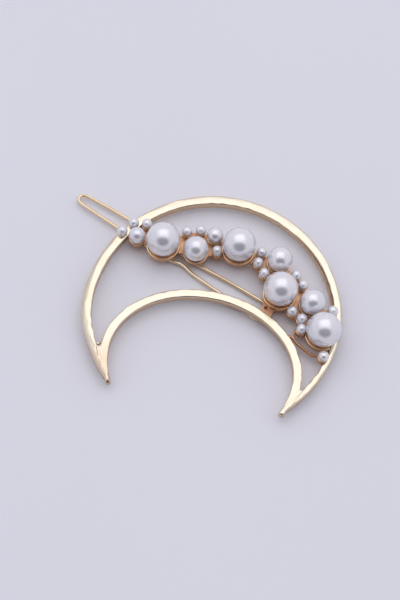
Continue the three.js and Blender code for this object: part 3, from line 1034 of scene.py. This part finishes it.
# %% [markdown]
# ## Finishes, bodies and what each piece stands for
# The clip has two bodies: the wire, which lies on the table, and the moon, which swings on it and
# carries everything else. A piece gets its finish, its body, and the CAD node that it stands for.

# %% Finish the pieces
def finish(piece, material, body, slot, *nodes):
    piece.data.materials.clear()
    piece.data.materials.append(material)
    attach(piece, body)
    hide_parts(*nodes)


finish(crescent, polished_gold, "moon", "polished_gold", "crescent_frame")
finish(tray, tray_gold, "moon", "polished_gold", "pearl_tray")
finish(wire, wire_gold, "wire", "spring_wire_gold", "wire_clip")
for node, piece in lugs.items():
    finish(piece, polished_gold, "moon", "polished_gold", node)
for node, piece in zip(bead_nodes, bead_pieces):
    finish(piece, pearl_finish, "moon", "pearl", node)
print(len(bead_pieces) + len(lugs) + 3, "pieces finished")

# %% [markdown]
# ## Floor, light and camera
# Jewellery is lit with a large soft box above, a little behind, so that every flat face mirrors
# it, and with bright surroundings. A second, smaller light makes its heart brighter. The shaded
# patch below each pearl's highlight is the dark front of the room, where the viewer stands, so
# the surroundings have such a patch too. The floor is pale card. It lets the eye through from
# below, so the back of the clip can be looked at.


# %% Floor
FLOOR_HALF = 3000.0


def card_floor():
    """Flat square, x and y from -FLOOR_HALF to +FLOOR_HALF."""
    side = np.linspace(-FLOOR_HALF, FLOOR_HALF, 9)
    x, y = np.meshgrid(side, side, indexing="xy")
    mesh = grid_mesh("floor", np.stack([x, y, 0 * x], -1))
    material, r = new_material("pale card")
    place = r.node("ShaderNodeTexCoord", out="Object")
    fibres = r.noise(place, 900, 3)
    tint = r.noise(place, 9, 2)
    colour = r.mix(tint, (0.86, 0.86, 0.93, 1), (0.9, 0.895, 0.96, 1))
    normal = r.node("ShaderNodeBump", None, {"Distance": 1.5e-5, "Height": fibres})
    front = r.node("ShaderNodeBsdfPrincipled", None, {
        "Base Color": colour, "Roughness": 0.7 + fibres * 0.2, "Normal": normal})
    through = r.node("ShaderNodeBsdfTransparent")
    behind = r.node("ShaderNodeNewGeometry", out="Backfacing")
    surface = r.node("ShaderNodeMixShader", None, {0: behind, 1: front, 2: through})
    r.node("ShaderNodeOutputMaterial", None, {"Surface": surface})
    mesh.materials.append(material)
    placed("floor", mesh)


card_floor()
print("floor:", 2 * FLOOR_HALF * MM, "m square")


# %% Light
LAMP_COLOUR = (1, 0.985, 0.97)
LAMP_AIM = (0, 0.03, 0)


def soft_box(name, place, size, watts):
    """Rectangular area light at place (m), facing LAMP_AIM."""
    lamp = bpy.data.lights.new(name, "AREA")
    lamp.shape = "RECTANGLE"
    lamp.size, lamp.size_y = size
    lamp.energy = watts
    lamp.color = LAMP_COLOUR
    holder = placed(name, lamp)
    holder.location = place
    holder.rotation_mode = "QUATERNION"
    holder.rotation_quaternion = (Vector(LAMP_AIM) - Vector(place)).to_track_quat("-Z", "Y")


soft_box("soft box rim", (-0.03, 0.12, 0.62), (0.95, 0.8), 0.72)
soft_box("soft box heart", (-0.03, 0.2, 0.6), (0.6, 0.5), 0.36)

# %% Surroundings
DARK_WAY = Vector((0.09, -0.72, 0.69)).normalized()
DARK_EDGE, DARK_HEART = math.cos(math.radians(36)), math.cos(math.radians(24))
PALE, DARK = (0.80, 0.80, 0.87, 1), (0.05, 0.045, 0.06, 1)

world = bpy.data.worlds.new("pale room")
world.use_nodes = True
bpy.context.scene.world = world
room = Recipe(world.node_tree)
heading = room.node("ShaderNodeTexCoord", out="Generated")
squeezed = room.node("ShaderNodeVectorMath", {"operation": "MULTIPLY"},
                     {0: heading, 1: (0.7, 1, 1)})
evened = room.node("ShaderNodeVectorMath", {"operation": "NORMALIZE"}, {0: squeezed})
towards = room.node("ShaderNodeVectorMath", {"operation": "DOT_PRODUCT"},
                    {0: evened, 1: tuple(DARK_WAY)}, out="Value")
shade = room.clamped(towards, DARK_EDGE, DARK_HEART)
light = room.mix(shade, PALE, DARK)
backdrop = room.node("ShaderNodeBackground", None, {"Color": light, "Strength": 0.9})
room.node("ShaderNodeOutputWorld", None, {"Surface": backdrop})
print("nodes in the world:", len(world.node_tree.nodes))

# %% [markdown]
# ## Camera
# The camera looks down steeply, a little from the right, and is rolled slightly. Its angles are in
# radians and its distance in metres. It aims at a point measured from the crescent's heart, and
# its focal length is a share of the picture's long side.

# %% Camera
AZIMUTH, ELEVATION, ROLL = 0.1198, 1.0996, 0.1057
DISTANCE = 0.240
AIM_FROM_HEART = (-3.638, 3.736)
TARGET = Vector((*(HEART + AIM_FROM_HEART), BACK)) * MM
FOCAL_SHARE = 1034.3 / 600

away = Vector((math.sin(AZIMUTH) * math.cos(ELEVATION), -math.cos(AZIMUTH) * math.cos(ELEVATION),
               math.sin(ELEVATION)))
right = (-away).cross(Vector((0, 0, 1))).normalized()
up = right.cross(-away)
right_rolled = right * math.cos(ROLL) + up * math.sin(ROLL)
up_rolled = up * math.cos(ROLL) - right * math.sin(ROLL)
lens = bpy.data.cameras.new("camera")
lens.sensor_width = 36
lens.lens = FOCAL_SHARE * lens.sensor_width
lens.clip_start, lens.clip_end = 0.01, 20
camera = placed("camera", lens)
camera.matrix_world = Matrix.Translation(TARGET + away * DISTANCE) @ Matrix(
    (right_rolled, up_rolled, away)).transposed().to_4x4()
bpy.context.scene.camera = camera
bpy.context.scene.view_settings.view_transform = "Standard"
print("camera at", [round(x, 3) for x in camera.matrix_world.translation], "m")
